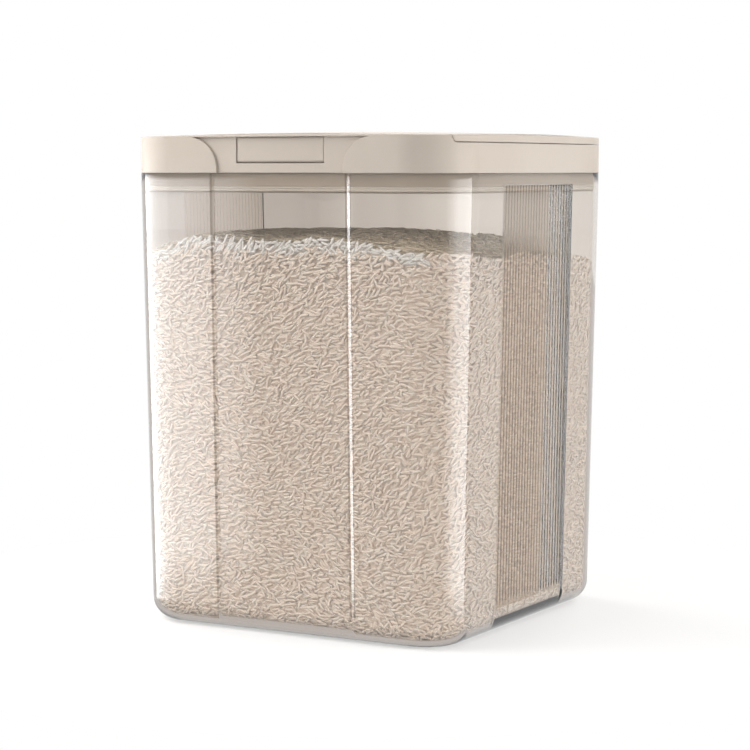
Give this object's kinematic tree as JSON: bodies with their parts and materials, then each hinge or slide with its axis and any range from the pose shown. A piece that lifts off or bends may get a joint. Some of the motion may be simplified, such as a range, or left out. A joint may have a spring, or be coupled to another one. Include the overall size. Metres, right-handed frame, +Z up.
{
  "type": "rice bin with flip lid",
  "caption": "Square clear food bin with round corners, fluted side panels and a lift-off lid whose crowned cover flips up at a press button.",
  "frame": {"origin": "centre of the base, on the surface that the bin stands on", "axes": "+Z up, -Y towards the front with the press button, +X to the right as seen from the front"},
  "size_m": [0.24, 0.24, 0.3163],
  "materials": {
    "clear_body": "clear moulded plastic with a faint warm tint",
    "lid_plastic": "satin warm cream plastic",
    "pan_plastic": "satin beige plastic",
    "silicone": "soft pale silicone",
    "steel": "plain stainless steel"
  },
  "bodies": {
    "bin": {"container": "clear_body"},
    "lid": {"lid_frame": "lid_plastic", "under_pan": "pan_plastic", "pan_screws": "steel", "lid_gasket": "silicone", "button_spring_left": "steel", "button_spring_right": "steel", "button_guide": "pan_plastic", "guide_screws": "steel", "hinge_pin_left": "steel", "hinge_pin_right": "steel", "hinge_spring_left": "steel", "hinge_spring_right": "steel", "hinge_plug_left": "lid_plastic", "hinge_plug_right": "lid_plastic"},
    "cover": {"flip_cover": "lid_plastic", "cover_liner": "pan_plastic", "liner_screws": "steel", "cover_seal": "silicone"},
    "button": {"press_button": "lid_plastic"}
  },
  "joints": [
    {"name": "lid_lift", "type": "slide", "parent": "bin", "child": "lid", "axis": [0, 0, 1], "range_m": [0, 0.08]},
    {"name": "cover_hinge", "type": "hinge", "parent": "lid", "child": "cover", "pos_m": [0, 0.113, 0.3088], "axis": [-1, 0, 0], "range_deg": [0, 95]},
    {"name": "button_press", "type": "slide", "parent": "lid", "child": "button", "axis": [0, 1, 0], "range_m": [0, 0.003], "stiffness_N_per_m": 400, "deforming": ["button_spring_left", "button_spring_right"]}
  ]
}
